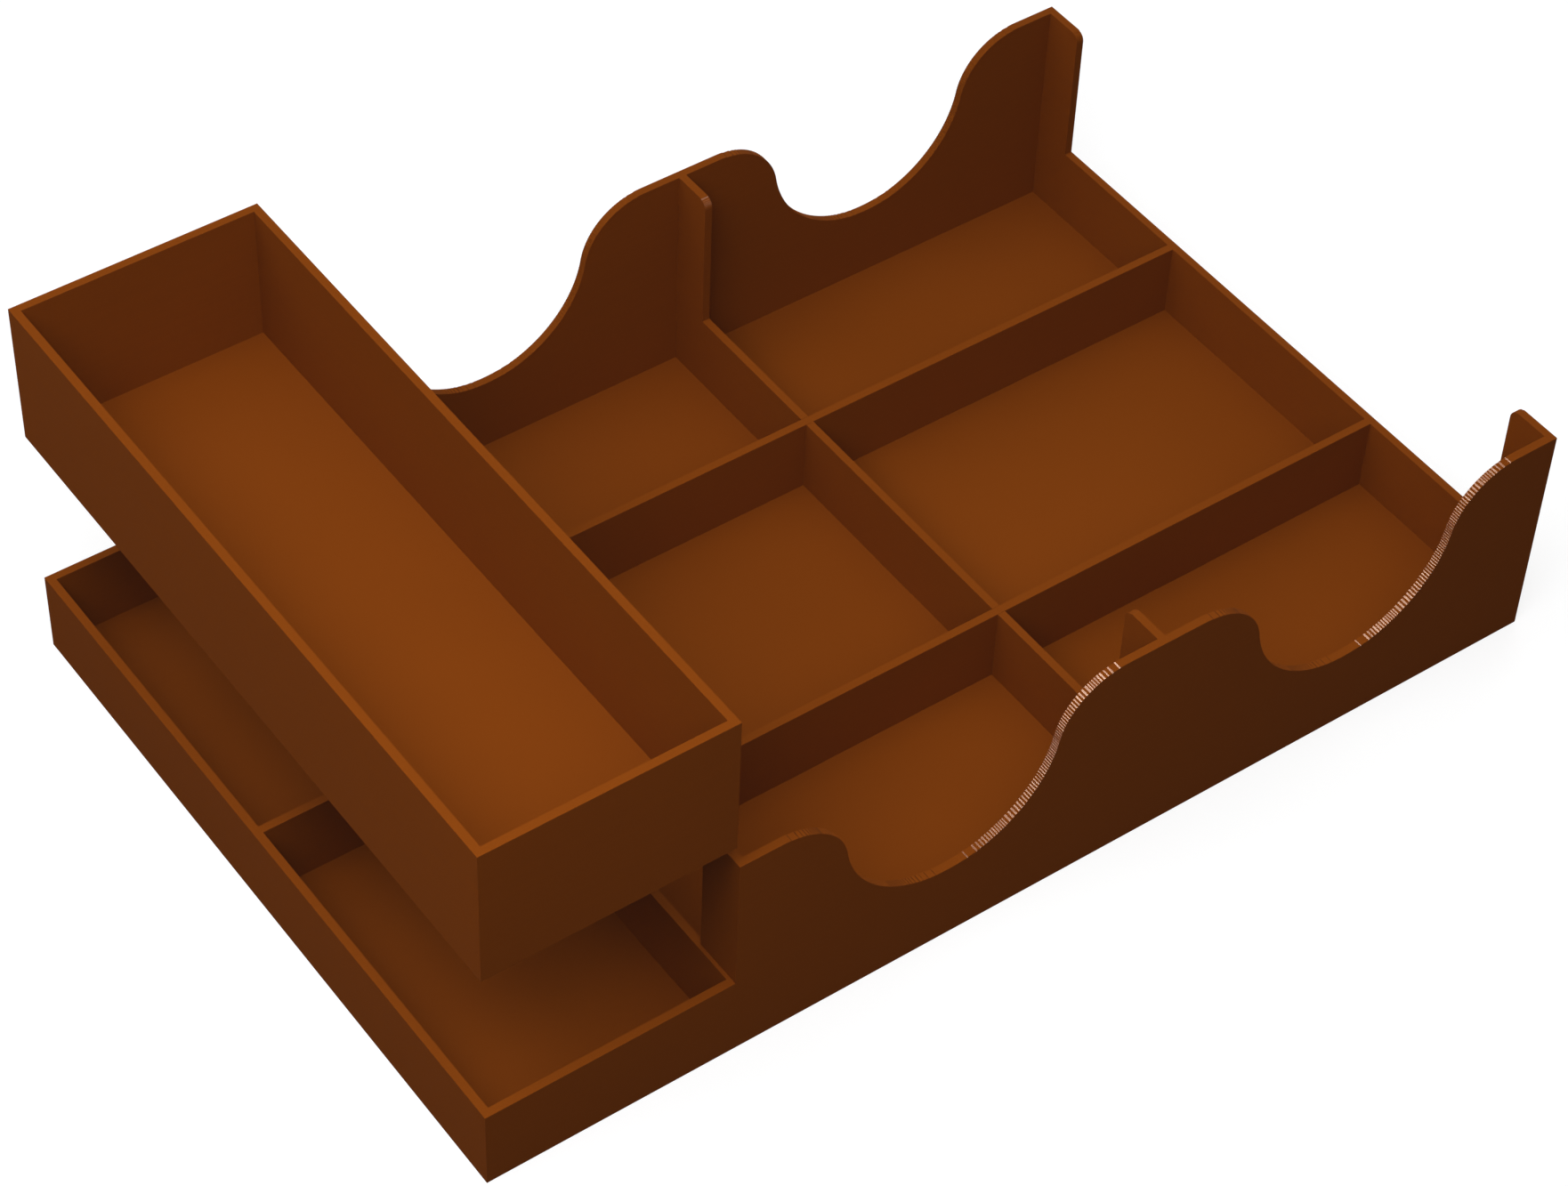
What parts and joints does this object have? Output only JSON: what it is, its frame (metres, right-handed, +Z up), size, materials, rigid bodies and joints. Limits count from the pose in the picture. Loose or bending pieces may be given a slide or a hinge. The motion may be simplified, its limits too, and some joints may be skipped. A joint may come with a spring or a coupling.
{
  "type": "board game organizer",
  "caption": "Open organizer of thin brown plastic: compartments with scooped front and back walls, a low bay at one side, and a loose tray that lifts off the bay.",
  "frame": {"origin": "on the surface the organizer rests on, under the middle of its base", "axes": "+X along the front from the low bay to the compartments, +Y from front to back, +Z up"},
  "size_m": [0.284, 0.182, 0.1037],
  "materials": {
    "box_plastic": "brown plastic, solid colour, in 0.3 mm printed layers that show as fine steps on the sloping edges",
    "tray_plastic": "the same brown plastic as the box, in 0.3 mm printed layers"
  },
  "bodies": {
    "box": {"base_floor": "box_plastic", "front_wall": "box_plastic", "back_wall": "box_plastic", "left_wall": "box_plastic", "right_wall": "box_plastic", "bay_wall": "box_plastic", "bay_front_post": "box_plastic", "bay_back_post": "box_plastic", "centre_wall": "box_plastic", "front_row_divider": "box_plastic", "back_row_divider": "box_plastic", "bay_divider": "box_plastic"},
    "tray": {"tray_floor": "tray_plastic", "tray_front_wall": "tray_plastic", "tray_back_wall": "tray_plastic", "tray_left_wall": "tray_plastic", "tray_right_wall": "tray_plastic"}
  },
  "joints": [
    {"name": "tray_lift", "type": "slide", "parent": "box", "child": "tray", "axis": [0, 0, 1], "range_m": [-0.0442, 0.0158]}
  ]
}
